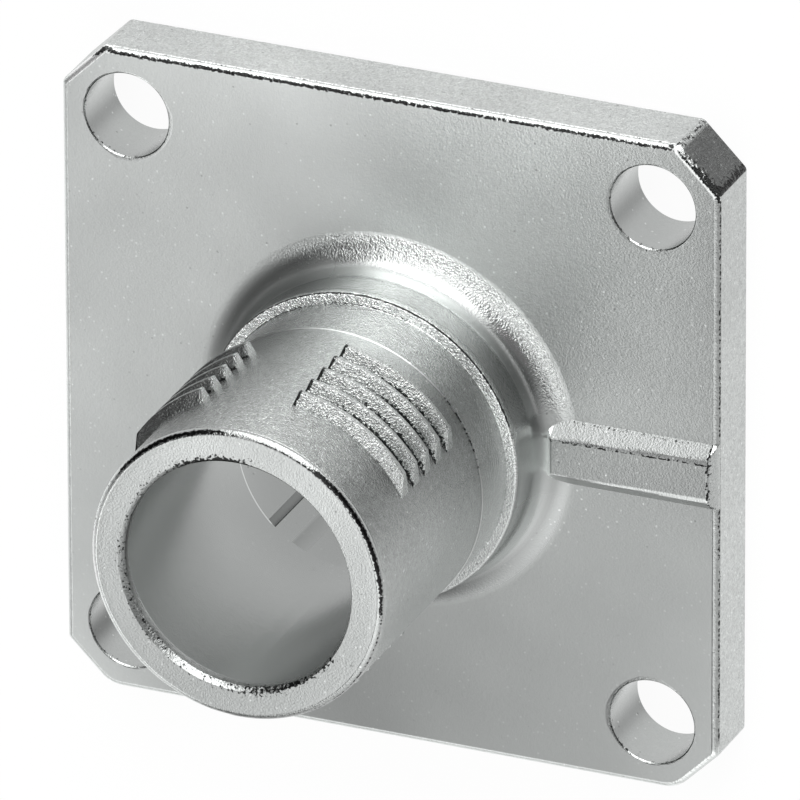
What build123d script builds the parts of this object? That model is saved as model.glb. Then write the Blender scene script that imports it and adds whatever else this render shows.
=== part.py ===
# Flange housing of a circular sensor connector, one zinc die casting, nickel plated.
# A square mounting flange carries a round barrel with an interrupted M12 x 1 thread.
# The part lies on the back face of its flange: the origin is the centre of that face,
# +Z runs along the barrel to its open end, and the key rib points along +X.
# All sizes are in millimetres, all angles in degrees.

from build123d import *
import math
import os

# Flange plate
FLANGE_SIDE = 25.0
FLANGE_THICKNESS = 2.6
CORNER_CHAMFER = 1.6
CORNER_ROUND = 0.2
LOWER_CORNER_ROUND = 1.2
FRONT_EDGE_ROUND = 0.18
BACK_EDGE_BREAK = 0.08

# Screw holes, each set in from the two flange sides next to it
HOLE_DIAMETER = 3.2
HOLE_INSET = 2.5
HOLE_EDGE_BREAK = 0.09

# Barrel, neck and boss, lengths measured from the front face of the flange. The boss stands
# out from the barrel by BOSS_STEP, the neck by NECK_STEP.
BARREL_DIAMETER = 11.06
BARREL_LENGTH = 13.6
RIM_ROUND = 0.24
NECK_LENGTH = 4.78
NECK_STEP = 0.03
BOSS_LENGTH = 2.6
BOSS_STEP = 0.42
BOSS_FILLET = 1.25
SHOULDER_ROUND = 0.1

# Bores, the front one for the mating plug and the rear one for the contact insert
FRONT_BORE_DIAMETER = 8.6
RIM_CHAMFER = 0.2
REAR_BORE_DIAMETER = 9.1
REAR_BORE_DEPTH = 6.1
REAR_LEAD_IN = 0.4

# Grooves in the rear bore that keep the insert from turning
SLOT_WIDTH = 0.34
SLOT_DEPTH = 0.4
SLOT_ANGLE = 225.8
KEYWAY_WIDTH = 1.75
KEYWAY_DEPTH = 0.15
KEYWAY_ANGLE = 253.5

# Interrupted thread, right-handed
THREAD_HEIGHT = 0.45
THREAD_PITCH = 1.0
THREAD_RIDGES = 5
THREAD_SETBACK = 3.44
THREAD_CREST_WIDTH = 0.18
THREAD_FLANK_RUN = 0.19

# Two mould slides close along Y and form the thread in three windows. Each window has a
# left and a right end, given by its place round the barrel and by the angle it leans in.
UPPER_RIGHT_WINDOW = ((80.6, 20.0), (26.7, 0.0))
UPPER_LEFT_WINDOW = ((155.2, 0.0), (116.3, 20.0))
LOWER_WINDOW = ((235.9, 6.0), (304.1, 6.0))

# Key rib on the front face of the flange
RIB_BASE_WIDTH = 2.5
RIB_TOP_WIDTH = 1.4
RIB_INNER_HEIGHT = 0.65
RIB_OUTER_HEIGHT = 0.48
RIB_INNER_SLOPE = 0.44
RIB_OUTER_SLOPE = 0.23

# Seal groove in the back face
SEAL_GROOVE_DIAMETER = 16.4
SEAL_GROOVE_WIDTH = 1.5
SEAL_GROOVE_DEPTH = 0.9

# A cutter reaches past the face that it opens by this much
CUTTER_MARGIN = 1.0

HALF_SIDE = FLANGE_SIDE / 2
HOLE_SPACING = FLANGE_SIDE - 2 * HOLE_INSET
BARREL_RADIUS = BARREL_DIAMETER / 2
BOSS_RADIUS = BARREL_RADIUS + BOSS_STEP
THREAD_RADIUS = BARREL_RADIUS + THREAD_HEIGHT
HOUSING_HEIGHT = FLANGE_THICKNESS + BARREL_LENGTH


def flange_outline():
    """Square with four chamfered corners: the two lower ones run softly into the lower edge."""
    inner = HALF_SIDE - CORNER_CHAMFER
    corners = [
        (inner, -HALF_SIDE),
        (HALF_SIDE, -inner),
        (HALF_SIDE, inner),
        (inner, HALF_SIDE),
        (-inner, HALF_SIDE),
        (-HALF_SIDE, inner),
        (-HALF_SIDE, -inner),
        (-inner, -HALF_SIDE),
    ]
    rounds = [LOWER_CORNER_ROUND if y == -HALF_SIDE else CORNER_ROUND for _, y in corners]
    return make_face(FilletPolyline(corners, radius=rounds, close=True))


def flange_plate():
    """The plate with its front edge rounded over and its back edge broken."""
    plate = extrude(flange_outline(), amount=FLANGE_THICKNESS)
    front_edges = plate.faces().sort_by(Axis.Z)[-1].outer_wire().edges()
    plate = fillet(front_edges, FRONT_EDGE_ROUND)
    back_edges = plate.faces().sort_by(Axis.Z)[0].outer_wire().edges()
    return chamfer(back_edges, BACK_EDGE_BREAK)


def turned(points, radii=0):
    """Solid of revolution about Z from a closed section of (radius, height) points."""
    section = make_face(FilletPolyline(points, radius=radii, close=True))
    return revolve(Plane.XZ * section, axis=Axis.Z)


def barrel():
    """Hub fillet, boss, shoulder, neck and barrel, turned as one solid."""
    neck_radius = BARREL_RADIUS + NECK_STEP
    foot_radius = BOSS_RADIUS + BOSS_FILLET + CUTTER_MARGIN
    shoulder_height = FLANGE_THICKNESS + BOSS_LENGTH
    step_height = FLANGE_THICKNESS + NECK_LENGTH
    section = [
        ((0, 0), 0),
        ((foot_radius, 0), 0),
        ((foot_radius, FLANGE_THICKNESS), 0),
        ((BOSS_RADIUS, FLANGE_THICKNESS), BOSS_FILLET),
        ((BOSS_RADIUS, shoulder_height), SHOULDER_ROUND),
        ((neck_radius, shoulder_height), 0),
        ((neck_radius, step_height), 0),
        ((BARREL_RADIUS, step_height), 0),
        ((BARREL_RADIUS, HOUSING_HEIGHT), RIM_ROUND),
        ((0, HOUSING_HEIGHT), 0),
    ]
    return turned([point for point, _ in section], [radius for _, radius in section])


def bore():
    """Cutter for the whole bore: chamfered mouth, front bore, shoulder, rear bore and lead-in."""
    front_radius = FRONT_BORE_DIAMETER / 2
    rear_radius = REAR_BORE_DIAMETER / 2
    return turned([
        (0, -CUTTER_MARGIN),
        (rear_radius + REAR_LEAD_IN + CUTTER_MARGIN, -CUTTER_MARGIN),
        (rear_radius, REAR_LEAD_IN),
        (rear_radius, REAR_BORE_DEPTH),
        (front_radius, REAR_BORE_DEPTH),
        (front_radius, HOUSING_HEIGHT - RIM_CHAMFER),
        (front_radius + RIM_CHAMFER + CUTTER_MARGIN, HOUSING_HEIGHT + CUTTER_MARGIN),
        (0, HOUSING_HEIGHT + CUTTER_MARGIN),
    ])


def insert_groove(angle, width, depth):
    """Cutter for one straight groove in the wall of the rear bore, open at the back face."""
    reach = REAR_BORE_DIAMETER / 2 + depth
    length = REAR_BORE_DEPTH + CUTTER_MARGIN
    groove = Pos(reach / 2, 0, REAR_BORE_DEPTH - length / 2) * Box(reach, width, length)
    return Rot(0, 0, angle) * groove


def screw_holes():
    """Cutters for the four screw holes, each with a small break at both edges."""
    radius = HOLE_DIAMETER / 2
    hole = turned([
        (0, -CUTTER_MARGIN),
        (radius + HOLE_EDGE_BREAK + CUTTER_MARGIN, -CUTTER_MARGIN),
        (radius, HOLE_EDGE_BREAK),
        (radius, FLANGE_THICKNESS - HOLE_EDGE_BREAK),
        (radius + HOLE_EDGE_BREAK + CUTTER_MARGIN, FLANGE_THICKNESS + CUTTER_MARGIN),
        (0, FLANGE_THICKNESS + CUTTER_MARGIN),
    ])
    return [place * hole for place in GridLocations(HOLE_SPACING, HOLE_SPACING, 2, 2)]


def thread_helix():
    """One ridge wound right-handed round the barrel, one turn for each ridge seen from the side.

    It starts and ends opposite the key rib. The foot of its section is sunk into the barrel.
    """
    half_crest = THREAD_CREST_WIDTH / 2
    half_foot = half_crest + THREAD_FLANK_RUN
    sink = THREAD_HEIGHT / 2
    path = Helix(pitch=THREAD_PITCH, height=THREAD_RIDGES * THREAD_PITCH, radius=BARREL_RADIUS)
    outline = Polyline(
        (-sink, -half_foot),
        (0, -half_foot),
        (THREAD_HEIGHT, -half_crest),
        (THREAD_HEIGHT, half_crest),
        (0, half_foot),
        (-sink, half_foot),
        close=True,
    )
    section = Plane(origin=path @ 0, x_dir=(1, 0, 0), z_dir=path % 0) * make_face(outline)
    ridge = sweep(section, path=path, is_frenet=True)
    start_height = HOUSING_HEIGHT - THREAD_SETBACK - (THREAD_RIDGES - 0.5) * THREAD_PITCH
    return Pos(0, 0, start_height) * Rot(0, 0, 180) * ridge


def window_edge(end, inward):
    """Foot and top of the line that ends a window, from Y = 0 to just past the thread."""
    place, lean = (math.radians(angle) for angle in end)
    x = BARREL_RADIUS * math.cos(place)
    surface = BARREL_RADIUS * abs(math.sin(place))
    slope = inward * math.tan(lean)
    top = THREAD_RADIUS + CUTTER_MARGIN
    return (x - surface * slope, 0), (x + (top - surface) * slope, top)


def slide_window(window, side):
    """Block of space in which one mould slide forms thread, on the +Y or -Y side of the barrel."""
    left_foot, left_top = window_edge(window[0], 1)
    right_foot, right_top = window_edge(window[1], -1)
    outline = [(x, side * y) for x, y in (left_foot, right_foot, right_top, left_top)]
    return extrude(make_face(Polyline(*outline, close=True)), amount=HOUSING_HEIGHT)


def thread_segments():
    """The helix, left standing only inside the windows of the slides."""
    helix = thread_helix()
    windows = [
        slide_window(UPPER_RIGHT_WINDOW, 1),
        slide_window(UPPER_LEFT_WINDOW, 1),
        slide_window(LOWER_WINDOW, -1),
    ]
    return [helix & window for window in windows]


def key_rib():
    """Trapezoid rib from the boss to the edge of the flange, with both ends sloped."""
    foot = FLANGE_THICKNESS / 2
    inner_top = FLANGE_THICKNESS + RIB_INNER_HEIGHT
    across = Polyline(
        (-RIB_BASE_WIDTH / 2, foot),
        (RIB_BASE_WIDTH / 2, foot),
        (RIB_BASE_WIDTH / 2, FLANGE_THICKNESS),
        (RIB_TOP_WIDTH / 2, inner_top),
        (-RIB_TOP_WIDTH / 2, inner_top),
        (-RIB_BASE_WIDTH / 2, FLANGE_THICKNESS),
        close=True,
    )
    along = Polyline(
        (BOSS_RADIUS, foot),
        (HALF_SIDE, foot),
        (HALF_SIDE, FLANGE_THICKNESS),
        (HALF_SIDE - RIB_OUTER_SLOPE, FLANGE_THICKNESS + RIB_OUTER_HEIGHT),
        (BOSS_RADIUS + RIB_INNER_SLOPE, inner_top),
        (BOSS_RADIUS, FLANGE_THICKNESS),
        close=True,
    )
    bar = extrude(Plane.YZ * make_face(across), amount=HALF_SIDE)
    blank = extrude(Plane.XZ * make_face(along), amount=RIB_BASE_WIDTH, both=True)
    return bar & blank


def seal_groove():
    """Cutter for the ring groove that takes the flange seal."""
    outer = SEAL_GROOVE_DIAMETER / 2
    inner = outer - SEAL_GROOVE_WIDTH
    ring = Circle(outer) - Circle(inner)
    return Pos(0, 0, -CUTTER_MARGIN) * extrude(ring, amount=CUTTER_MARGIN + SEAL_GROOVE_DEPTH)


def flange_housing():
    """The whole casting as one solid."""
    body = flange_plate() + barrel() + key_rib() + thread_segments()
    cutters = screw_holes() + [
        bore(),
        insert_groove(SLOT_ANGLE, SLOT_WIDTH, SLOT_DEPTH),
        insert_groove(KEYWAY_ANGLE, KEYWAY_WIDTH, KEYWAY_DEPTH),
        seal_groove(),
    ]
    return body - cutters


os.makedirs("parts", exist_ok=True)
housing = flange_housing()
housing.label = "flange_housing"
print("solids", len(housing.solids()), "volume", round(housing.volume, 2))
export_step(housing, "parts/flange_housing.step")
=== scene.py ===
# Flange housing of a circular sensor connector: one nickel-plated zinc die casting.
# It lies on the back face of its flange, with +Z along the barrel and the key rib towards +X.
# Sizes are in millimetres up to the point where they become a mesh, in metres. Angles are in
# degrees.
import math

import bmesh
import bpy
import numpy as np
from mathutils import Matrix, Vector


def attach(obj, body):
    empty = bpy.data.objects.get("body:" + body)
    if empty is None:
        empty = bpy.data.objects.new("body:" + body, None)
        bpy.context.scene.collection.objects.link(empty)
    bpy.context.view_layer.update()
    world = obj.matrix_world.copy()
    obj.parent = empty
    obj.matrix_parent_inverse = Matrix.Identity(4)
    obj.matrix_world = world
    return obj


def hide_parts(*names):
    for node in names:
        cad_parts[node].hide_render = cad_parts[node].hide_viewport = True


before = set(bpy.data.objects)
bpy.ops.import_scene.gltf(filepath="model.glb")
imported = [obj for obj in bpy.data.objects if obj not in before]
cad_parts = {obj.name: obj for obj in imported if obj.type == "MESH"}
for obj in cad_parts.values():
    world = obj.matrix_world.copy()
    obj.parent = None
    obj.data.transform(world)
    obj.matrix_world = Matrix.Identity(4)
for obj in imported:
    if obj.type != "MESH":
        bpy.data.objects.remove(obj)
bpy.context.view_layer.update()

MM = 0.001


# Camera
# A long lens looks down on the front of the flange from the upper right, aimed a little to the
# right of and above the centre of the flange's front face.
FRONT = 2.6
AIM_RIGHT, AIM_ABOVE, CAMERA_DISTANCE = 0.372, 0.670, 781.9
picture_right = Vector((0.9209, -0.0033, -0.3898)).normalized()
towards_camera = Vector((0.3529, 0.4318, 0.8300)).normalized()
picture_up = towards_camera.cross(picture_right).normalized()
picture_right = picture_up.cross(towards_camera)
aim = Vector((0, 0, FRONT)) + AIM_RIGHT * picture_right + AIM_ABOVE * picture_up
stand = aim + CAMERA_DISTANCE * towards_camera
lens = bpy.data.cameras.new("camera")
lens.lens = 1000
lens.sensor_width = 36
lens.clip_start = 0.01
lens.clip_end = 100
camera = bpy.data.objects.new("camera", lens)
camera.matrix_world = Matrix.Translation(stand * MM) @ Matrix(
    (picture_right, picture_up, towards_camera)).transposed().to_4x4()
bpy.context.scene.collection.objects.link(camera)
bpy.context.scene.camera = camera
bpy.context.scene.view_settings.view_transform = "Standard"


# Floor
# The part lies on a matt white sheet. To the camera and in reflections the sheet looks pure white,
# but a little of its white comes from the lamps, so that it keeps the shadow. From below it is
# clear, so that the back of the flange can be looked at.
FLOOR_HALF, FLOOR_HEIGHT = 4000, -0.01
SHEET_WHITE, GLOW_SHARE = (0.9, 0.9, 0.9, 1), 0.94


def nodes_of(material):
    """The material's node tree, emptied."""
    material.use_nodes = True
    material.node_tree.nodes.clear()
    return material.node_tree


def add(tree, kind, inputs=None, **settings):
    """A node of this kind. Each input is a constant, or the output socket that feeds it."""
    node = tree.nodes.new(kind)
    for name, value in settings.items():
        setattr(node, name, value)
    for name, value in (inputs or {}).items():
        if isinstance(value, bpy.types.NodeSocket):
            tree.links.new(value, node.inputs[name])
        else:
            node.inputs[name].default_value = value
    return node


def maths(tree, operation, *values, **settings):
    """Output of a Math node for the values, each a number or a socket."""
    return add(tree, "ShaderNodeMath", dict(enumerate(values)), operation=operation,
               **settings).outputs[0]


mesh = bpy.data.meshes.new("floor")
mesh.from_pydata([(MM * FLOOR_HALF * along, MM * FLOOR_HALF * across, MM * FLOOR_HEIGHT)
                  for along, across in ((-1, -1), (1, -1), (1, 1), (-1, 1))], [], [(0, 1, 2, 3)])
floor = bpy.data.objects.new("floor", mesh)
bpy.context.scene.collection.objects.link(floor)

paper = bpy.data.materials.new("white paper")
tree = nodes_of(paper)
rays = add(tree, "ShaderNodeLightPath").outputs
seen = maths(tree, "MAXIMUM", rays["Is Camera Ray"], rays["Is Glossy Ray"])
seen = maths(tree, "MAXIMUM", seen, rays["Is Transmission Ray"])
matt = add(tree, "ShaderNodeBsdfDiffuse", {"Color": SHEET_WHITE}).outputs[0]
glow = add(tree, "ShaderNodeEmission", {"Color": (1, 1, 1, 1), "Strength": 1.0}).outputs[0]
sheet = add(tree, "ShaderNodeMixShader", {0: maths(tree, "MULTIPLY", seen, GLOW_SHARE),
                                          1: matt, 2: glow}).outputs[0]
below = add(tree, "ShaderNodeNewGeometry").outputs["Backfacing"]
clear = add(tree, "ShaderNodeBsdfTransparent").outputs[0]
sheet = add(tree, "ShaderNodeMixShader", {0: below, 1: sheet, 2: clear}).outputs[0]
add(tree, "ShaderNodeOutputMaterial", {"Surface": sheet})
floor.data.materials.append(paper)


# Studio
# A white room with soft lamps and black cards, each given as the way to it, its strength and its
# sharpness. They are soft spots in the room's light, which also grows towards the ceiling. The
# camera sees plain white behind the part.
ROOM_LIGHT, CEILING_LIGHT, LEAST_LIGHT = 0.525, 0.296, 0.1
LAMPS_AND_CARDS = [
    ((0.06, 0.95, 0.31), 6.20, 8.8),
    ((-0.04, 0.43, 0.90), 3.61, 20.2),
    ((0.03, -0.40, 0.92), 1.57, 6.8),
    ((0.23, -0.90, 0.36), 0.89, 7.4),
    ((-0.82, -0.57, 0.10), 1.22, 16.1),
    ((0.41, 0.13, 0.91), -1.88, 17.6),
    ((0.54, 0.51, 0.67), -2.04, 13.5),
    ((0.80, 0.57, 0.18), -1.15, 7.8),
    ((-0.33, -0.88, 0.34), -0.88, 8.1),
    ((-0.77, 0.21, 0.61), -2.15, 5.4),
    ((-0.74, 0.45, 0.50), -1.00, 6.3),
]

room = bpy.data.worlds.new("room")
bpy.context.scene.world = room
tree = nodes_of(room)
way_out = add(tree, "ShaderNodeTexCoord").outputs["Generated"]
up = add(tree, "ShaderNodeSeparateXYZ", {"Vector": way_out}).outputs["Z"]
light = maths(tree, "MULTIPLY_ADD", up, CEILING_LIGHT, ROOM_LIGHT)
for way, strength, sharpness in LAMPS_AND_CARDS:
    # A spot is strength times exp(sharpness (cosine of the angle to its way - 1)).
    cosine = add(tree, "ShaderNodeVectorMath", {0: way_out, 1: Vector(way).normalized()},
                 operation="DOT_PRODUCT").outputs["Value"]
    spot = maths(tree, "EXPONENT", maths(tree, "MULTIPLY_ADD", cosine, sharpness, -sharpness))
    light = maths(tree, "MULTIPLY_ADD", spot, strength, light)
light = maths(tree, "MAXIMUM", light, LEAST_LIGHT)
studio = add(tree, "ShaderNodeBackground", {"Color": (1, 1, 1, 1), "Strength": light})
white = add(tree, "ShaderNodeBackground", {"Color": (1, 1, 1, 1), "Strength": 1.0})
sky = add(tree, "ShaderNodeMixShader",
          {0: add(tree, "ShaderNodeLightPath").outputs["Is Camera Ray"],
           1: studio.outputs[0], 2: white.outputs[0]})
add(tree, "ShaderNodeOutputWorld", {"Surface": sky.outputs[0]})


# Casting: flange, boss, neck and barrel
# One zinc die casting, nickel plated after casting. The flange, boss, neck and barrel are one
# closed skin here: a turned shell with the plate's four quarters laid round its foot.
SIDE = 25.0
HALF = SIDE / 2
CORNER_CUT, CORNER_ROUND, LOWER_CORNER_ROUND = 1.6, 0.27, 1.2
FRONT_ROUND, BACK_BREAK = 0.24, 0.08
HOLE_PLACE, HOLE_RADIUS, HOLE_BREAK = 10.0, 1.6, 0.045
BOSS_RADIUS, BOSS_FILLET, BOSS_TOP, SHOULDER_ROUND = 5.95, 1.25, 5.2, 0.1
HUB_RADIUS = BOSS_RADIUS + BOSS_FILLET
NECK_RADIUS, NECK_TOP, BARREL_RADIUS = 5.56, 7.38, 5.53
RIM_HEIGHT, RIM_ROUND, MOUTH_BREAK = 16.2, 0.24, 0.2
BORE_RADIUS, SEAT_RADIUS, SEAT_HEIGHT, LEAD_IN = 4.3, 4.55, 6.1, 0.4
SEAL_INNER, SEAL_OUTER, SEAL_DEPTH = 6.7, 8.2, 0.9

# Grooves in the insert's seat: middle angle, width, depth, and how far each wall leans over.
SLOT = (225.8, 0.34, 0.4, 0.12)
KEYWAY = (253.5, 1.75, 0.12, 3.5)


def rounded(corners, radii, pitch, bend_steps=6):
    """Points along straight runs whose corners are rounded, and the outward way at each point.

    A corner is cut back on both sides by its radius times the tangent of half the turn, and a
    circular arc joins the two cuts. Outward is to the right of the way the points go.
    """
    corners = np.array(corners, float)
    ways = np.diff(corners, axis=0)
    ways /= np.linalg.norm(ways, axis=1)[:, None]
    points, outward, start = [], [], corners[0]
    for index, radius in enumerate(list(radii) + [0]):
        way, corner = ways[index], corners[index + 1]
        last = index == len(ways) - 1
        turn = 0 if last else math.atan2(way[0] * ways[index + 1][1] - way[1] * ways[index + 1][0],
                                         way @ ways[index + 1])
        end = corner - way * radius * abs(math.tan(turn / 2))
        steps = max(1, math.ceil(np.linalg.norm(end - start) / pitch - 1e-6))
        share = np.arange(steps + (radius == 0 and last))[:, None] / steps
        points.append(start + (end - start) * share)
        outward.append(np.repeat([[way[1], -way[0]]], len(share), axis=0))
        start = end
        if radius:
            side = math.copysign(1, turn)
            centre = end + radius * side * np.array([-way[1], way[0]])
            bend = math.atan2(*(end - centre)[::-1]) + turn * np.arange(bend_steps) / bend_steps
            spoke = np.stack([np.cos(bend), np.sin(bend)], axis=1)
            points.append(centre + radius * spoke)
            outward.append(side * spoke)
            start = corner + ways[index + 1] * radius * abs(math.tan(turn / 2))
    return np.concatenate(points), np.concatenate(outward)


def turned_skin(section, angles):
    """Points (r cos a, r sin a, z) for each point (r, z) of the section and each angle a."""
    angles = np.radians(angles)
    return np.stack(np.broadcast_arrays(section[:, :1] * np.cos(angles),
                                        section[:, :1] * np.sin(angles),
                                        section[:, 1:2]), axis=2)


def mesh_of(name, patches, weld=0.002, sharp=32):
    """One closed mesh from grids of points. Neighbouring rows and columns make quads, points
    closer than weld become one, and the faces are turned outwards. Edges that turn by more than
    sharp degrees stay sharp, and all others are shaded smooth."""
    points, quads, first = [], [], 0
    for patch in patches:
        rows, columns = patch.shape[:2]
        index = first + np.arange(rows * columns).reshape(rows, columns)
        quads.append(np.stack([index[:-1, :-1], index[1:, :-1], index[1:, 1:], index[:-1, 1:]],
                              axis=2).reshape(-1, 4))
        points.append(patch.reshape(-1, 3))
        first += rows * columns
    points, quads = np.concatenate(points) * MM, np.concatenate(quads)
    mesh = bpy.data.meshes.new(name)
    mesh.vertices.add(len(points))
    mesh.vertices.foreach_set("co", points.ravel())
    mesh.loops.add(quads.size)
    mesh.loops.foreach_set("vertex_index", quads.ravel())
    mesh.polygons.add(len(quads))
    mesh.polygons.foreach_set("loop_start", np.arange(0, quads.size, 4))
    mesh.update(calc_edges=True)
    work = bmesh.new()
    work.from_mesh(mesh)
    bmesh.ops.remove_doubles(work, verts=work.verts, dist=weld * MM)
    bmesh.ops.dissolve_degenerate(work, edges=work.edges, dist=1e-9)
    bmesh.ops.recalc_face_normals(work, faces=work.faces)
    work.to_mesh(mesh)
    work.free()
    mesh.polygons.foreach_set("use_smooth", np.ones(len(mesh.polygons), bool))
    mesh.set_sharp_from_angle(angle=math.radians(sharp))
    made = bpy.data.objects.new(name, mesh)
    bpy.context.scene.collection.objects.link(made)
    return made


def groove_walls(groove):
    """Angles of the two walls of a groove in the insert's seat: its middle less and plus the arc
    sine of half its width over the seat's radius."""
    centre, width, _, _ = groove
    reach = math.degrees(math.asin(width / 2 / SEAT_RADIUS))
    return [centre - reach, centre + reach]


# The turned section goes from the hub fillet up the outside, over the rim, down the bores and
# round the seal groove. Points close beside a corner keep its shading crisp. Its first point only
# gives the fillet its way in from the face, and is dropped.
section, _ = rounded(
    [(HUB_RADIUS + 0.01, FRONT), (BOSS_RADIUS, FRONT), (BOSS_RADIUS, BOSS_TOP),
     (NECK_RADIUS + 0.05, BOSS_TOP), (NECK_RADIUS, BOSS_TOP), (NECK_RADIUS, BOSS_TOP + 0.05),
     (NECK_RADIUS, NECK_TOP - 0.04), (NECK_RADIUS, NECK_TOP - 0.025),
     (BARREL_RADIUS, NECK_TOP), (BARREL_RADIUS, NECK_TOP + 0.015),
     (BARREL_RADIUS, RIM_HEIGHT), (BORE_RADIUS + MOUTH_BREAK, RIM_HEIGHT),
     (BORE_RADIUS, RIM_HEIGHT - MOUTH_BREAK), (BORE_RADIUS, SEAT_HEIGHT + 0.08),
     (BORE_RADIUS, SEAT_HEIGHT + 0.06), (BORE_RADIUS, SEAT_HEIGHT),
     (SEAT_RADIUS, SEAT_HEIGHT), (SEAT_RADIUS, LEAD_IN), (SEAT_RADIUS + LEAD_IN, 0),
     (SEAL_INNER, 0), (SEAL_INNER, SEAL_DEPTH), (SEAL_OUTER, SEAL_DEPTH), (SEAL_OUTER, 0)],
    [BOSS_FILLET, SHOULDER_ROUND] + [0] * 7 + [RIM_ROUND] + [0] * 11, pitch=0.34, bend_steps=14)
section = section[1:]

# Angles of the shell's lines. Each sloped groove wall has a line at its top and one at its
# bottom, and none beside them.
lines = np.arange(0, 361, 1.25)
for groove in (SLOT, KEYWAY):
    lean = groove[3]
    for wall in groove_walls(groove):
        lines = lines[np.abs(lines - wall) > lean + 0.3]
        lines = np.append(lines, [wall - lean, wall + lean])
lines = np.sort(lines)
shell = turned_skin(section, lines)

# The mouth was broken a little off the bore's centre, so the break is widest at its lower left.
mouth_row = np.flatnonzero(section[:, 1] > RIM_HEIGHT - 0.001)[-1]
wide = MOUTH_BREAK * (0.62 + 0.38 * np.cos(np.radians(lines - 207)))
shell[mouth_row, :, :2] *= ((BORE_RADIUS + wide) / (BORE_RADIUS + MOUTH_BREAK))[:, None]
shell[mouth_row + 1, :, 2] = RIM_HEIGHT - wide

# The slot and the keyway push the seat's wall out to their flat floors, which lie at the seat's
# radius plus the depth over the cosine of the angle from the groove's middle.
seat_rows = (section[:, 0] > SEAT_RADIUS - 0.01) & (section[:, 1] < SEAT_HEIGHT + 0.01) & (
    section[:, 0] < SEAT_RADIUS + LEAD_IN + 0.01)
for groove in (SLOT, KEYWAY):
    centre, _, depth, _ = groove
    away = (lines - centre + 180) % 360 - 180
    floor_at = np.where(np.abs(away) < groove_walls(groove)[1] - centre,
                        (SEAT_RADIUS + depth) / np.cos(np.radians(away)), 0)
    radius = np.hypot(shell[seat_rows, :, 0], shell[seat_rows, :, 1])
    shell[seat_rows, :, :2] *= (np.maximum(radius, floor_at) / radius)[:, :, None]


def quarter_turn(points, quarter):
    """The points turned about the axis by whole quarters, each of which takes (x, y) to (-y, x)."""
    return points @ np.linalg.matrix_power([[0, 1], [-1, 0]], quarter)


def quarter_outline(quarter, inset):
    """A quarter of the flange's outline, from one axis round the corner to the next. Each point
    is set in against its outward way."""
    first = LOWER_CORNER_ROUND if quarter == 3 else CORNER_ROUND
    second = LOWER_CORNER_ROUND if quarter == 2 else CORNER_ROUND
    points, outward = rounded([(HALF, 0), (HALF, HALF - CORNER_CUT), (HALF - CORNER_CUT, HALF),
                               (0, HALF)], [first, second], pitch=0.16)
    return quarter_turn(points - inset * outward, quarter)


def quarter_loop(quarter, foot_radius, inset):
    """Closed loop round a quarter of the plate: out along one axis, round the corner, in along
    the other axis, and back along the shell's foot."""
    share = np.linspace(0, 1, 27)[:, None]
    axes = [quarter_turn(np.array([1.0, 0.0]), quarter + step) for step in (0, 1)]
    edge = HALF - inset
    out = axes[0] * (foot_radius + (edge - foot_radius) * share[:-1])
    back = axes[1] * (edge + (foot_radius - edge) * share)
    inside = lines[(lines >= 90 * quarter - 1e-6) & (lines <= 90 * quarter + 90 + 1e-6)]
    turn = np.radians(inside[::-1])
    foot = foot_radius * np.stack([np.cos(turn), np.sin(turn)], axis=1)
    return np.concatenate([out, quarter_outline(quarter, inset)[:-1], back[:-1], foot])


def at_height(points, height):
    """The flat points lifted to a height, or each row of them to a height of its own."""
    return np.concatenate([points, np.broadcast_to(height, points.shape[:-1] + (1,))], axis=-1)


# Profile of a screw hole as radius and height, and of the flange's edge as inset and height, both
# from front to back.
hole, _ = rounded([(HOLE_RADIUS + HOLE_BREAK, FRONT), (HOLE_RADIUS, FRONT - HOLE_BREAK),
                   (HOLE_RADIUS, HOLE_BREAK), (HOLE_RADIUS + HOLE_BREAK, 0)], [0, 0], pitch=0.4)
bend = np.radians(np.linspace(90, 0, 9))
edge = np.concatenate([
    np.stack([FRONT_ROUND * (1 - np.cos(bend)), FRONT - FRONT_ROUND * (1 - np.sin(bend))], axis=1),
    np.stack([np.zeros(11), np.linspace(FRONT - 0.4, BACK_BREAK, 11)], axis=1),
    [[BACK_BREAK, 0]]])

# Each quarter of the plate spreads from its screw hole, in front and at the back. A narrow ring
# at both ends of the spread keeps the face's shading flat.
patches = [shell]
for quarter in range(4):
    centre = quarter_turn(np.array([HOLE_PLACE, HOLE_PLACE]), quarter)
    spokes = []
    for foot_radius, inset, height, rings in ((HUB_RADIUS, FRONT_ROUND, FRONT, 20),
                                              (SEAL_OUTER, BACK_BREAK, 0, 4)):
        loop = quarter_loop(quarter, foot_radius, inset)
        spoke = loop - centre
        spoke /= np.linalg.norm(spoke, axis=1)[:, None]
        spokes.append(spoke)
        circle = centre + (HOLE_RADIUS + HOLE_BREAK) * spoke
        share = np.linspace(0, 1, rings)
        share = np.insert(share, (1, rings - 1), (0.015, 0.985))[:, None, None]
        patches.append(at_height(circle + (loop - circle) * share, height))
    sink = ((FRONT - hole[:, 1]) / FRONT)[:, None, None]
    spoke = spokes[0] * (1 - sink) + spokes[1] * sink
    spoke /= np.linalg.norm(spoke, axis=2)[:, :, None]
    patches.append(at_height(centre + hole[:, 0, None, None] * spoke, hole[:, 1, None, None]))
    patches.append(np.stack([at_height(quarter_outline(quarter, inset), height)
                             for inset, height in edge]))
casting = mesh_of("casting", patches)


def places(piece):
    """The piece's vertices in millimetres, with their distance from the axis."""
    points = np.empty(len(piece.data.vertices) * 3, np.float32)
    piece.data.vertices.foreach_get("co", points)
    points = points.reshape(-1, 3) / MM
    return points, np.hypot(points[:, 0], points[:, 1])


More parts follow.
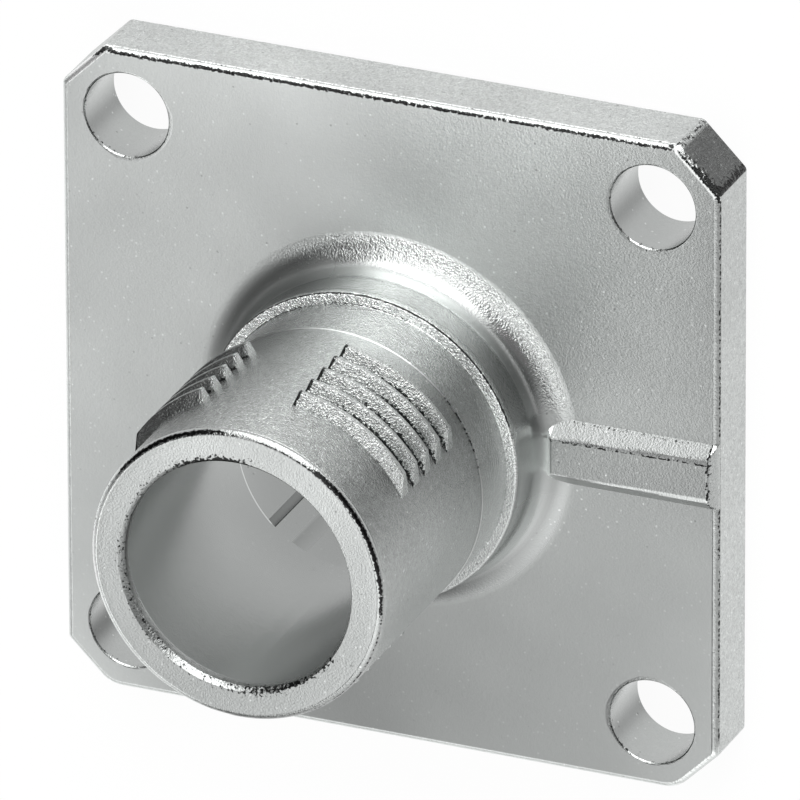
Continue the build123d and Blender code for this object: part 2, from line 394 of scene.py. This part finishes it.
def finish_marks(piece, zones, painted_dark):
    """Writes the finish into the piece, as four marks at every vertex: grain is how sandy the
    cast skin is, polish how smooth, tone how light the surface is painted, and the fourth mark
    how dark a line along an edge or in a valley is painted. Most tones and all the dark lines
    are painted light and shade: highlights, dark reflections and shade. A zone gives grain,
    polish and tone, and later zones win over earlier ones."""
    marks = [np.zeros(len(piece.data.vertices)) for _ in range(3)]
    for zone, *values in zones:
        for mark, value in zip(marks, values):
            mark[zone] = np.broadcast_to(value, mark.shape)[zone]
    for name, mark in zip(("grain", "polish", "tone", "painted_dark"), marks + [painted_dark]):
        piece.data.attributes.new(name, "FLOAT", "POINT").data.foreach_set("value", mark)


def rise(value, low, high):
    """Smooth step from 0 at low to 1 at high: 3 t squared less 2 t cubed."""
    t = np.clip((value - low) / (high - low), 0, 1)
    return t * t * (3 - 2 * t)


def fall(value, low, high):
    """Smooth step from 1 at low to 0 at high."""
    return 1 - rise(value, low, high)


def bell(value, centre, width):
    """Soft bump of height 1 at the centre: exp(-(distance / width) squared)."""
    return np.exp(-((value - centre) / width) ** 2)


def from_angle(start, full):
    """Smooth step of the casting's angle, from 0 at start to 1 at full, and back to 0 on the far
    side."""
    return rise(angle, start, full) * fall(angle, 185, 215)


# Angles round the axis start at the key rib. They run from -145 to 215, so that they jump at the
# lower left, where no mark changes. Inside is all that lies within the barrel's wall.
points, radius = places(casting)
x, y, height = points.T
angle = (np.degrees(np.arctan2(y, x)) + 145) % 360 - 145
inside = radius < 5

# Face of the flange, painted with light and shade: lighter to the upper left, with a painted
# bright patch above the boss, darker at the upper edge and a painted shadow of the barrel at the
# lower edge, and sandier in the upper right.
u, v = x / HALF, y / HALF
face_grain = 0.11 + 0.05 * rise(y, -7, 2) + 0.38 * rise(x, -3, 5) * rise(y, -4, 3)
face_painted_light = 0.64 * np.exp(0.41 * v - 0.15 * u + 0.13 * v ** 2 - 0.49 * u ** 2 * v)
face_painted_light *= (1 + 0.36 * bell(np.hypot(x + 0.8, y - 7.2), 0, 2.0)
              - 0.15 * bell(np.hypot(x + 5, y - 11.5), 0, 4)
              - 0.2 * bell(np.hypot(x + 2, y + 11.5), 0, 3.5))

# Hub fillet, whose slope goes from 0 at the face to 90 at the boss. It is sandy at its foot in the
# upper right and burnished towards the boss. It is painted bright above and darker on both sides,
# with thin painted light and dark bands: painted reflections and shade.
fillet = (radius < HUB_RADIUS) & (height > FRONT) & (height < FRONT + BOSS_FILLET)
slope = np.degrees(np.arccos(np.clip((FRONT + BOSS_FILLET - height) / BOSS_FILLET, -1, 1)))
sandy = 0.06 + 0.6 * rise(angle, -10, 35) * fall(angle, 100, 140)
fillet_grain = (2.6 - 2.3 * rise(slope, 14, 56)) * sandy * rise(slope, -6, 10)
fillet_polish = 0.85 * rise(slope, 0, 10) * (1 - 0.85 * bell(angle, 0, 15)) * (
    1 - from_angle(95, 120) * (0.7 + 0.3 * fall(slope, 4, 34)))
fillet_painted_light = 0.89 * (1 - 0.53 * (1 - from_angle(-5, 32)) * fall(slope, 32, 55)) * (
    1 + 0.75 * bell(angle, 80, 20) * fall(slope, 8, 27)) * (
    1 - 0.2 * bell(angle, 120, 12) * bell(slope, 26, 11)
    - 0.36 * from_angle(105, 122) * rise(slope, 14, 32)
    + 0.35 * bell(angle, 46, 9) * rise(slope, 42, 52)
    - 0.35 * bell(angle, 22, 12) * bell(slope, 60, 7)
    + 0.3 * bell(angle, 22, 14) * bell(slope, 39, 6)
    - 0.45 * bell(angle, 103, 12) * bell(slope, 24, 11)
    - 0.3 * bell(angle, 34, 18) * bell(slope, 30, 7)
    + 1.1 * bell(angle, 38, 12) * bell(slope, 46, 7)
    - 0.58 * bell(angle, 73, 21) * rise(slope, 26, 42) * (1 - 0.5 * rise(slope, 56, 70)))
fillet_painted_light = face_painted_light + (fillet_painted_light - face_painted_light) * rise(slope, -1, 9)

# Screw holes: their painted bright and dark streaks, painted reflections and shade, stand at the
# same angles in all four, and the lower left one has one more painted dark streak, painted shade.
hole_x, hole_y = x - np.copysign(HOLE_PLACE, x), y - np.copysign(HOLE_PLACE, y)
from_hole = np.hypot(hole_x, hole_y)
hole_angle = np.degrees(np.arctan2(hole_y, hole_x)) % 360
hole_wall = from_hole < HOLE_RADIUS + 0.02
hole_rim = (from_hole < HOLE_RADIUS + HOLE_BREAK + 0.01) & (height > FRONT - HOLE_BREAK - 0.01)
hole_painted_light = 0.65 * (1 + 0.3 * bell(hole_angle, 160, 22) - 0.33 * bell(hole_angle, 206, 15)
                    - 0.25 * bell(hole_angle, 312, 22))
hole_painted_light *= 1 - 0.45 * bell(hole_angle, 197, 18) * ((x < 0) & (y < 0))

# Edges of the flange. The slope of its front round goes from 0 at the side to 90 at the face.
# The corner chamfers lie where |x| + |y| is at_cut. The left and lower edges are rough and painted
# lighter, a painted highlight.
at_cut = SIDE - CORNER_CUT
diagonal = np.abs(x) + np.abs(y)
plate = (radius > HUB_RADIUS) & (from_hole > HOLE_RADIUS + 2 * HOLE_BREAK)
outside = (np.maximum(np.abs(x), np.abs(y)) > HALF - 0.12) | (diagonal > at_cut - 0.17)
at_front = plate & (height > FRONT - FRONT_ROUND - 0.001)
bevel = at_front & (height > FRONT - FRONT_ROUND + 0.001) & (height < FRONT - 0.001)
bevel_slope = np.degrees(np.arcsin(np.clip((height - FRONT + FRONT_ROUND) / FRONT_ROUND, 0, 1)))
corner_edge = at_front & (diagonal > at_cut - 1.45 * FRONT_ROUND)
top_edge = at_front & (y > HALF - FRONT_ROUND - 0.001) & ~corner_edge
right_edge = at_front & (x > HALF - FRONT_ROUND - 0.001) & ~corner_edge
light_painted_bevel = bevel & ((x < -HALF + FRONT_ROUND) | (y < -HALF + FRONT_ROUND)
                      | (x + y < -at_cut + 0.4))

# The upper right corner chamfer is rough and painted dark, a painted dark reflection. It has a
# smoother, lighter lip along its left and front edges with a painted dark line, and a painted glint
# on the lip's end.
dark_painted_chamfer = (x > 0) & (y > 0) & (x + y > at_cut - 0.1) & (height < FRONT - 0.06)
along_chamfer = (x - y) / math.sqrt(2)
chamfer_lip = dark_painted_chamfer & ((along_chamfer < -0.98) | (height > FRONT - 0.2))
painted_glint = bell(np.hypot(np.hypot(x - 10.93, y - 12.38), height - 2.5), 0, 0.14)

# Boss, neck and barrel: their upper side is sandy, and they are painted darker at two places round
# the axis and lighter between them: painted shade and light. The shoulder's slope goes from 0 at
# the top to 90 at the wall.
cast_top = from_angle(-5, 50)
round_painted_light = (1 - 0.42 * bell(angle, 38, 17) - 0.3 * bell(angle, 120, 15)
              + 0.22 * bell(angle, 82, 13))
boss_wall = (height >= FRONT + BOSS_FILLET) & (radius > BOSS_RADIUS - 0.01)
shoulder = (height > BOSS_TOP - 0.11) & (height < BOSS_TOP + 0.01) & (
    radius < BOSS_RADIUS + 0.01)
shoulder_slope = np.degrees(np.arccos(np.clip((height - BOSS_TOP) / SHOULDER_ROUND + 1, 0, 1)))
neck = (height > BOSS_TOP + 0.01) & ~inside
neck_foot = shoulder & (radius < NECK_RADIUS + 0.02)
neck_step = (np.abs(height - NECK_TOP + 0.012) < 0.015) & ~inside
barrel = (height > NECK_TOP + 0.01) & ~inside

# Rim and mouth. The rim's slope goes from 0 at its face to 90 at the barrel.
rim = (radius > BARREL_RADIUS - RIM_ROUND - 0.01) & (height > RIM_HEIGHT - RIM_ROUND)
rim_slope = np.degrees(np.arccos(np.clip((height - RIM_HEIGHT + RIM_ROUND) / RIM_ROUND, -1, 1)))
# The rim's far side is rougher and painted lighter, painted light.
rim_back = rise(np.cos(np.radians(angle - 200)), 0.35, 0.8)
rim_face = height > RIM_HEIGHT - 0.001
mouth = (radius < BORE_RADIUS + MOUTH_BREAK + 0.01) & (height > RIM_HEIGHT - MOUTH_BREAK - 0.01)
# The mouth's tone is painted light and shade round the axis.
mouth_painted_light = (0.75 - 0.62 * bell(angle % 360, 155, 60) - 0.3 * bell(angle, -90, 16)
              - 0.3 * bell(angle, -134, 9))

# Bores: lighter where the light falls on the far wall, and a little lighter towards the mouth.
# The step to the insert's seat catches a line of light, and the slot's floor lies in the dark.
bore = inside & (height < RIM_HEIGHT - 0.25)
bore_tone = (0.65 + 0.36 * bell(angle % 360, 152, 26)) * (0.87 + 0.0225 * (height - 7))
seat = inside & (radius > SEAT_RADIUS - 0.01) & (height < SEAT_HEIGHT + 0.01)
seat_step = (radius < BORE_RADIUS + 0.01) & (np.abs(height - SEAT_HEIGHT - 0.03) < 0.04) & (
    angle % 360 < SLOT[0])
slot_floor = seat & (radius > SEAT_RADIUS + 0.2)
# The first wall of the keyway is painted dark: a painted shadow.
keyway_wall = seat & (np.abs(angle % 360 - groove_walls(KEYWAY)[0] + KEYWAY[3]) < 0.5)

# Painted dark lines along the edges, the rim and the mouth, in place of dark reflections and shade.
upper_left = rise(angle, 84, 104) * fall(angle, 138, 152)
right_side = fall(angle, 52, 66) * rise(angle, -25, 10)
lower_right = fall(angle, -20, 0) * rise(angle, -80, -55)
painted_dark = np.zeros(len(points))
for zone, dark in [
        (top_edge, 0.84 * bell(bevel_slope, 68, 20) * (0.85 + 0.15 * bell(x, -5, 6))
         + 0.36 * bell(bevel_slope, 11, 9)),
        (right_edge, 0.62 * bell(bevel_slope, 20, 14)),
        (corner_edge, 0.95 * bell(bevel_slope, 45, 26) * (y > 0)
         * np.where(x < 0, rise(x + y, 0.2, 1.5), 1)),
        (dark_painted_chamfer, 0.15 + 0.5 * rise(along_chamfer, 0.75, 1.0)
         + 0.35 * rise(height, 2.0, 2.3) * rise(along_chamfer, -0.9, 0.2)),
        (chamfer_lip, 0.44 + 0.3 * rise(along_chamfer, -0.7, 0.3)),
        (rim, 0.8 * np.maximum(upper_left, right_side) * bell(rim_slope, 36, 25)
         + 0.5 * lower_right * bell(rim_slope, 55, 14)
         + 0.42 * from_angle(140, 160) * bell(rim_slope, 55, 12)
         + 0.68 * bell(angle, 70, 24) * bell(rim_slope, 14, 9)),
        (shoulder, 0.9 * bell(shoulder_slope, 58, 26) * from_angle(5, 25)),
        (neck_foot, 0.7 * from_angle(62, 80)),
        (neck_step, 0.5 * bell(angle, 28, 20)),
        (hole_rim, 0.33),
        (mouth, 0.3 - 0.3 * rise(angle, -45, -25) * fall(angle, 70, 85)
         + 0.3 * bell(angle, -70, 20) + 0.36 * bell(angle, 101, 25)
         + 0.3 * bell(angle, -33, 9))]:
    painted_dark[zone] = np.broadcast_to(dark, painted_dark.shape)[zone]

# Each zone of the casting with its grain, polish and tone. Most of the tones are painted light and
# shade.
finish_marks(casting, [
    (height < FRONT + 0.01, face_grain, 0.0, face_painted_light),
    (outside & (height < FRONT - 0.01), 1.8, 0.3, 0.88),
    (height < 0.001, 0.7, 0.2, 0.74),
    (bevel, 0.4, 0.9, 0.95),
    # The right bevel is painted darker and the left corners' bevels lighter: painted shade and a
    # painted highlight.
    (bevel & right_edge, 0.9, 0.3, 0.58),
    (bevel & (x < 0) & corner_edge, 0.4, 0.0, 1.5),
    (light_painted_bevel, 0.4, 0.0, 1.25),
    (dark_painted_chamfer, 3.0, 0.5, 0.19),
    (chamfer_lip, 2.0, 0.9, 0.8),
    (painted_glint > 0.3, 0.5, 0.9, 1.6),
    (hole_rim, 0.8, 0.3, 0.55),
    (hole_wall, 0.3, 0.8, hole_painted_light),
    (fillet, fillet_grain, fillet_polish, fillet_painted_light),
    # Tones of the boss wall, shoulder, neck, barrel and neck step are painted light and shade round
    # the axis.
    (boss_wall, 0.3 + 0.5 * cast_top, 0.85 - 0.7 * bell(angle, 0, 15),
     0.86 * (1 + 0.6 * (round_painted_light - 1) - 0.52 * bell(angle, 75, 16))),
    (shoulder, 0.7 + 2.3 * cast_top, 0.6,
     0.6 + 0.6 * from_angle(-8, 20) - 0.3 * bell(angle, 44, 12) + 0.2 * bell(angle, 80, 14)),
    (neck, 0.9 + 0.9 * cast_top, 0.85, 0.75 * round_painted_light * (1 - 0.12 * bell(angle, 118, 16))),
    (barrel, 0.9 + (0.6 + 0.08 * (height - NECK_TOP)) * cast_top, 0.75, 0.7 * round_painted_light),
    (neck_step, 0.5, 0.3, 0.6 + 0.3 * bell(angle, 85, 25)),
    # The rim, its face and the mouth are painted light and shade: the rim lighter on its far side,
    # the face lighter towards the top.
    (rim, 0.6, 0.95 - 0.9 * rim_back, 0.5 + 0.1 * from_angle(-40, -10) + 0.8 * rim_back),
    (rim_face, 0.4, 0.2, 0.8 + 0.13 * np.cos(np.radians(angle - 80))),
    (mouth & ~rim_face, 1.2, 0.5, mouth_painted_light),
    (bore, 0.1, 0.6, bore_tone),
    (seat_step, 0.1, 1.0, 0.9),
    (slot_floor, 0.1, 0.0, 0.4),
    (keyway_wall, 0.1, 0.3, 0.46),
], painted_dark * (1 - painted_glint))


def effect(name, inputs, outputs):
    """An empty node group with named float inputs and outputs, and its two end nodes."""
    group = bpy.data.node_groups.new(name, "ShaderNodeTree")
    for socket, value in inputs.items():
        made = group.interface.new_socket(socket, in_out="INPUT", socket_type="NodeSocketFloat")
        made.default_value = value
    for socket in outputs:
        group.interface.new_socket(socket, in_out="OUTPUT", socket_type="NodeSocketFloat")
    return group, group.nodes.new("NodeGroupInput").outputs, group.nodes.new("NodeGroupOutput")


# The sandy skin of a casting. Its relief is fine noise plus 0.4 of coarse noise, and its mottle is
# the same with a mean of nought. Single grains catching the light are painted as light specks,
# painted glints, and pinholes are painted as dark pits, painted shade: round dots in cells picked
# by chance. All of it grows with the grain mark.
cast_grain, given, result = effect("cast grain", {"Grain": 1, "Pitch": 0.1},
                                   ["Height", "Mottle", "Speck", "Pit"])
place = add(cast_grain, "ShaderNodeTexCoord").outputs["Object"]
per_metre = maths(cast_grain, "DIVIDE", 1000, given["Pitch"])
fine = add(cast_grain, "ShaderNodeTexNoise", {"Vector": place, "Scale": per_metre, "Detail": 2,
                                              "Roughness": 0.6}).outputs["Fac"]
coarse = add(cast_grain, "ShaderNodeTexNoise",
             {"Vector": place, "Scale": maths(cast_grain, "MULTIPLY", per_metre, 0.3),
              "Detail": 1}).outputs["Fac"]
relief = maths(cast_grain, "MULTIPLY_ADD", coarse, 0.4, fine)
mottle = maths(cast_grain, "MULTIPLY_ADD", coarse, 0.4, maths(cast_grain, "SUBTRACT", fine, 0.7))
for output, value in (("Height", relief), ("Mottle", mottle)):
    cast_grain.links.new(maths(cast_grain, "MULTIPLY", value, given["Grain"]),
                         result.inputs[output])
cells = add(cast_grain, "ShaderNodeTexVoronoi",
            {"Vector": place, "Scale": maths(cast_grain, "MULTIPLY", per_metre, 0.45)})
chance = add(cast_grain, "ShaderNodeSeparateColor", {"Color": cells.outputs["Color"]})
dot = maths(cast_grain, "DIVIDE", cells.outputs["Distance"], 0.34)
dot = maths(cast_grain, "SUBTRACT", 1, dot, use_clamp=True)
shown = maths(cast_grain, "MULTIPLY_ADD", given["Grain"], 9, -0.7, use_clamp=True)
dot = maths(cast_grain, "MULTIPLY", dot, shown)
for output, tint, share in (("Speck", "Red", 0.91), ("Pit", "Green", 0.985)):
    picked = maths(cast_grain, "GREATER_THAN", chance.outputs[tint], share)
    cast_grain.links.new(maths(cast_grain, "MULTIPLY", picked, dot), result.inputs[output])

NICKEL = (0.68, 0.70, 0.69)
DULL_ROUGHNESS, POLISHED_ROUGHNESS, DARKEST_PAINT = 0.42, 0.16, 0.06
GRAIN_PITCH, GRAIN_RELIEF = 0.075, 0.03


def cast_nickel(name):
    """Satin nickel plate over cast zinc, for a piece that carries the four marks. Its colour is
    the metal's times tone, darkened by the painted dark lines and the pits, mottled and clouded,
    plus the specks. Tone and the dark lines are mostly painted light and shade, the specks painted
    glints, and the pits painted shade."""
    material = bpy.data.materials.new(name)
    tree = nodes_of(material)
    grain, polish, tone, painted_dark = [
        add(tree, "ShaderNodeAttribute", attribute_name=mark).outputs["Fac"]
        for mark in ("grain", "polish", "tone", "painted_dark")]
    skin = add(tree, "ShaderNodeGroup", {"Grain": grain, "Pitch": GRAIN_PITCH},
               node_tree=cast_grain).outputs
    rough = add(tree, "ShaderNodeMapRange", {"Value": polish, "To Min": DULL_ROUGHNESS,
                                             "To Max": POLISHED_ROUGHNESS})
    place = add(tree, "ShaderNodeTexCoord").outputs["Object"]

    # The painted dark line along an edge is as ragged as the noise that is added to its mark.
    ragged = add(tree, "ShaderNodeTexNoise", {"Vector": place, "Scale": 9000, "Detail": 2})
    ragged = maths(tree, "MULTIPLY_ADD", ragged.outputs["Fac"], 1.5, -0.75)
    dark = add(tree, "ShaderNodeMapRange", {
        "Value": maths(tree, "ADD", painted_dark, ragged), "From Min": 0.42, "From Max": 0.55,
        "To Min": 1.0, "To Max": DARKEST_PAINT})
    cloud = add(tree, "ShaderNodeTexNoise", {"Vector": place, "Scale": 220, "Detail": 1})
    tone = maths(tree, "MULTIPLY", tone, dark.outputs[0])
    tone = maths(tree, "MULTIPLY", tone, maths(tree, "MULTIPLY_ADD", skin["Mottle"], 0.5, 1))
    tone = maths(tree, "MULTIPLY_ADD", skin["Speck"], 0.45, tone)
    tone = maths(tree, "MULTIPLY", tone, maths(tree, "MULTIPLY_ADD", skin["Pit"], -0.6, 1))
    tone = maths(tree, "MULTIPLY", tone,
                 maths(tree, "MULTIPLY_ADD", cloud.outputs["Fac"], 0.3, 0.85))
    colour = add(tree, "ShaderNodeVectorMath", {0: NICKEL, "Scale": tone}, operation="SCALE")
    relief = add(tree, "ShaderNodeBump", {"Height": skin["Height"], "Strength": 1.0,
                                          "Distance": GRAIN_RELIEF * MM})
    metal = add(tree, "ShaderNodeBsdfPrincipled", {
        "Base Color": colour.outputs[0], "Metallic": 1.0, "Roughness": rough.outputs[0],
        "Normal": relief.outputs[0]})
    add(tree, "ShaderNodeOutputMaterial", {"Surface": metal.outputs[0]})
    return material


nickel = cast_nickel("satin nickel")
casting.data.materials.append(nickel)
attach(casting, "root")
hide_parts("flange_housing")


# Thread ridges
# The coupling thread is cast in three windows by two mould slides, so each ridge stops at flat
# ends. Five ridges stand in each window, one pitch apart.
THREAD_RADIUS, PITCH, RIDGES, FRONT_RIDGE = 5.98, 1.0, 5, 12.76
CREST_HALF, FOOT_HALF, CREST_ROUND, SINK = 0.09, 0.28, 0.05, 0.2

# Left and right end of each window: its place round the barrel, and how far its flat end leans
# in. The lower window is given as its mirror image above.
UPPER_RIGHT = ((80.6, 20.0), (26.7, 0.0))
UPPER_LEFT = ((155.2, 0.0), (116.3, 20.0))
LOWER = ((124.1, 6.0), (55.9, 6.0))


def window_end(end, inward, radius):
    """Angle at which a cylinder of this radius meets the plane that ends a window.

    On that plane x grows by slope times y. With y = r sin a this is r (cos a - slope sin a) =
    constant, so a = acos(constant / (r root(1 + slope squared))) - atan(slope).
    """
    place, lean = np.radians(end)
    slope = inward * math.tan(lean)
    fixed = BARREL_RADIUS * (math.cos(place) - slope * math.sin(place))
    return np.arccos(fixed / (radius * math.hypot(1, slope))) - math.atan(slope)


# A ridge is its section carried along a helix, which climbs one pitch in a whole turn. Its foot
# is sunk into the barrel, and its ends are closed by rings that shrink to their centre.
ridge, _ = rounded([(BARREL_RADIUS - SINK, 0), (BARREL_RADIUS - SINK, -FOOT_HALF),
                    (BARREL_RADIUS, -FOOT_HALF), (THREAD_RADIUS, -CREST_HALF),
                    (THREAD_RADIUS, CREST_HALF), (BARREL_RADIUS, FOOT_HALF),
                    (BARREL_RADIUS - SINK, FOOT_HALF), (BARREL_RADIUS - SINK, 0)],
                   [0, 0, CREST_ROUND, CREST_ROUND, 0, 0], pitch=0.1, bend_steps=4)
patches = []
for window, side in ((UPPER_RIGHT, 1), (UPPER_LEFT, 1), (LOWER, -1)):
    radius = ridge[:, 0]
    left, right = window_end(window[0], 1, radius), window_end(window[1], -1, radius)
    steps = math.ceil(math.degrees(left.max() - right.min()) / 0.9)
    share = np.linspace(0, 1, steps)[:, None]
    turned = side * (right + (left - right) * share)
    for index in range(RIDGES):
        height = FRONT_RIDGE - index * PITCH + PITCH * turned / (2 * math.pi) + ridge[:, 1]
        body = np.stack([radius * np.cos(turned), radius * np.sin(turned), height], axis=2)
        patches.append(body)
        for end in (body[0], body[-1]):
            centre = end[:-1].mean(axis=0)
            patches.append(centre + (end - centre) * np.linspace(0, 1, 5)[:, None, None])
thread = mesh_of("thread", patches)

# The left ends of the upper ridges and the valleys between them are painted dark, painted shade.
# The left window is painted darker, painted shade, and its right ends lighter, painted highlights.
points, radius = places(thread)
turned = np.arctan2(points[:, 1], points[:, 0])
angle = np.degrees(turned)
off_crest = (points[:, 2] - FRONT_RIDGE - PITCH * turned / (2 * math.pi) + PITCH / 2) % PITCH
off_crest -= PITCH / 2
foremost = points[:, 2] > FRONT_RIDGE - PITCH / 2 + PITCH * turned / (2 * math.pi)
left_end = np.maximum(*[bell(angle, np.degrees(window_end(window[0], 1, radius)), 1.0)
                        for window in (UPPER_RIGHT, UPPER_LEFT)])
foot_line = 0.6 * bell(off_crest, 0.27, 0.035) * fall(angle, 52, 78) * (1 - foremost)
on_left = angle > 100
right_end = bell(angle, np.degrees(window_end(UPPER_LEFT[1], -1, radius)), 0.9) * on_left
valley = 0.45 * bell(np.abs(off_crest), 0.28, 0.06) * on_left * (1 - foremost)
finish_marks(thread, [
    (radius > 0, 2.2 - 1.1 * fall(angle, 36, 52), 0.85, 0.74),
    (on_left, 0.9, 0.7, 0.46 + 1.0 * right_end),
], 0.15 * (1 - right_end) + np.maximum(0.85 * left_end, foot_line + valley))
thread.data.materials.append(nickel)
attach(thread, "root")
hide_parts("flange_housing")


# Key rib
# A low trapezoid rib on the flange, from the boss to the edge, with both its ends sloped. It
# keeps the plug's nut or a marking plate from turning.
RIB_BASE, RIB_TOP, RIB_INNER, RIB_OUTER = 2.5, 1.4, 0.65, 0.48
INNER_RUN, OUTER_RUN, RIB_ROUNDING, RIB_SINK = 0.44, 0.23, 0.012, 0.25


def soft_least(heights, blend):
    """Smooth minimum of surfaces: minus blend times the log of the sum of exp(-height / blend)."""
    return -blend * np.log(sum(np.exp(-height / blend) for height in heights))


# Height over the face is the least of two flanks, the falling top and the two sloped ends.
x = np.linspace(BOSS_RADIUS - 0.2, HALF - 0.005, 150)[:, None]
y = np.linspace(-RIB_BASE / 2, RIB_BASE / 2, 41)
flank = RIB_INNER / ((RIB_BASE - RIB_TOP) / 2)
top_fall = (RIB_OUTER - RIB_INNER) / (HALF - OUTER_RUN - BOSS_RADIUS - INNER_RUN)
top = soft_least([
    flank * (RIB_BASE / 2 - y) + 0 * x,
    flank * (RIB_BASE / 2 + y) + 0 * x,
    RIB_INNER + top_fall * (x - BOSS_RADIUS - INNER_RUN) + 0 * y,
    (x - BOSS_RADIUS) * RIB_INNER / INNER_RUN + 0 * y,
    (HALF - x) * RIB_OUTER / OUTER_RUN + 0 * y,
], RIB_ROUNDING)
upper = np.stack(np.broadcast_arrays(x, y, FRONT + top), axis=2)
lower = upper.copy()
lower[:, :, 2] = FRONT - RIB_SINK
walls = [np.stack([upper[0], lower[0]]), np.stack([upper[-1], lower[-1]]),
         np.stack([upper[:, 0], lower[:, 0]]), np.stack([upper[:, -1], lower[:, -1]])]
rib = mesh_of("key_rib", [upper, lower] + walls)

# The rib's faces are painted light and shade: the lower flank and the inner slope painted light,
# the top duller and painted darker, and the top's upper edge, the foot of the upper flank and the
# outer edge painted dark.
x, y, _ = places(rib)[0].T
inner_slope = x < BOSS_RADIUS + INNER_RUN - 0.02
outer_slope = x > HALF - OUTER_RUN + 0.02
plateau = (np.abs(y) < RIB_TOP / 2 - 0.03) & (x > BOSS_RADIUS + INNER_RUN) & (x < HALF - OUTER_RUN)
edge_line = 0.6 * bell(y, RIB_TOP / 2 - 0.06, 0.06) + 0.36 * bell(y, RIB_BASE / 2 - 0.05, 0.06)
finish_marks(rib, [
    (x > 0, 0.45, 0.6, 0.31),
    (y < -RIB_TOP / 2 + 0.03, 0.3, 0.3, 0.9),
    (inner_slope, 0.4, 0.2, 1.1),
    (plateau, 0.5, 0.4, 0.43),
    (outer_slope, 1.0, 0.6, 0.7),
], np.maximum(edge_line * (x < HALF - 0.1), 0.52 * bell(x, HALF - OUTER_RUN, 0.08)))
rib.data.materials.append(nickel)
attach(rib, "root")
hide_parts("flange_housing")
